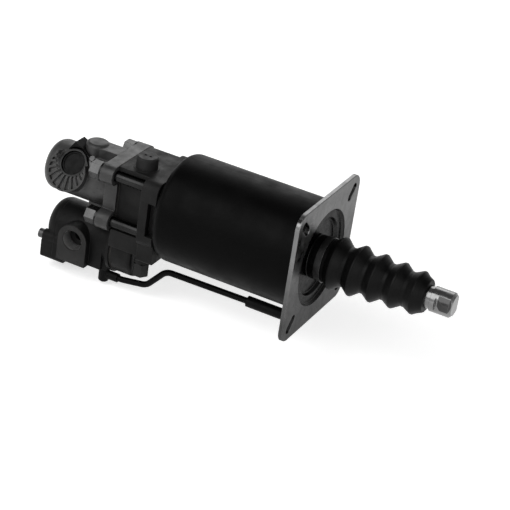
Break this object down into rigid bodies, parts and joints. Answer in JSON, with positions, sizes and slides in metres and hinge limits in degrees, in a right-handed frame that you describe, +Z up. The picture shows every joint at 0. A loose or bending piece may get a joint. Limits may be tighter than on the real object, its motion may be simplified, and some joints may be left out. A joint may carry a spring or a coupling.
{
  "type": "clutch servo",
  "caption": "Air-assisted clutch servo: black air cylinder on a square plate, push rod with bellows, and a cast hydraulic and relay valve end.",
  "frame": {"origin": "centre of the mounting flange's front face, on the push rod's axis", "axes": "+X along the push rod, the way it pushes; +Z up, towards the cap on the deck"},
  "size_m": [0.4148, 0.127, 0.1595],
  "materials": {
    "black_paint": "satin black paint",
    "zinc_plate": "bright zinc plating",
    "ground_steel": "ground and polished",
    "head_casting": "sand cast, dull",
    "housing_casting": "sand cast, dull",
    "valve_casting": "die cast, dark",
    "bolt_steel": "zinc plated",
    "spring_steel": "drawn wire",
    "piston_alloy": "machined",
    "bronze": "sintered",
    "black_rubber": "matt black rubber",
    "black_plastic": "moulded, matt",
    "white_plastic": "machined",
    "fibre": "pressed fibre"
  },
  "bodies": {
    "housing": {"cylinder_barrel": "black_paint", "mounting_flange": "zinc_plate", "front_cover": "zinc_plate", "guide_bush": "bronze", "rod_wiper": "black_rubber", "bellows": "black_rubber", "bellows_clamp": "black_plastic", "preload_spring": "spring_steel", "backing_ring": "bolt_steel", "floor_screws": "bolt_steel", "head_gasket": "fibre", "cylinder_head": "head_casting", "breather_cap": "black_plastic", "drain_plug": "bolt_steel", "plunger_bush": "bronze", "air_seal": "black_rubber", "plunger_seal": "black_rubber", "backup_ring": "white_plastic", "spacer_sleeve": "piston_alloy", "body_gasket": "fibre", "hydraulic_body": "housing_casting", "inlet_plug": "black_plastic", "bleed_screw": "bolt_steel", "tie_bolts": "bolt_steel", "tie_bolt_washers": "bolt_steel", "relay_valve_body": "valve_casting", "valve_gasket": "fibre", "valve_cover": "valve_casting", "valve_cover_ring": "black_rubber", "valve_cover_screws": "bolt_steel", "control_spring": "spring_steel", "poppet_spring": "spring_steel", "vent_elbow": "black_rubber", "vent_pipe": "black_paint", "vent_nipple": "black_paint", "vent_hose": "black_rubber", "dust_cover": "black_plastic"},
    "push_rod": {"push_rod": "ground_steel", "air_piston": "piston_alloy", "piston_guide_ring": "white_plastic", "piston_seal": "black_rubber", "hydraulic_plunger": "ground_steel"},
    "control_piston": {"control_piston": "piston_alloy", "control_piston_ring": "black_rubber"},
    "inlet_valve": {"inlet_poppet": "black_rubber"}
  },
  "joints": [
    {"name": "push_rod_slide", "type": "slide", "parent": "housing", "child": "push_rod", "axis": [1, 0, 0], "range_m": [-0.06, 0.025], "deforming": ["bellows", "preload_spring"]},
    {"name": "control_piston_slide", "type": "slide", "parent": "housing", "child": "control_piston", "axis": [-1, 0, 0], "range_m": [0, 0.0025], "stiffness_N_per_m": 1500, "springref_m": -0.004, "deforming": ["control_spring"]},
    {"name": "inlet_valve_slide", "type": "slide", "parent": "housing", "child": "inlet_valve", "axis": [-1, 0, 0], "range_m": [0, 0.0014], "deforming": ["poppet_spring"]}
  ],
  "couplings": [
    {"joint": "inlet_valve_slide", "follows": "control_piston_slide", "ratio": 0.56}
  ]
}
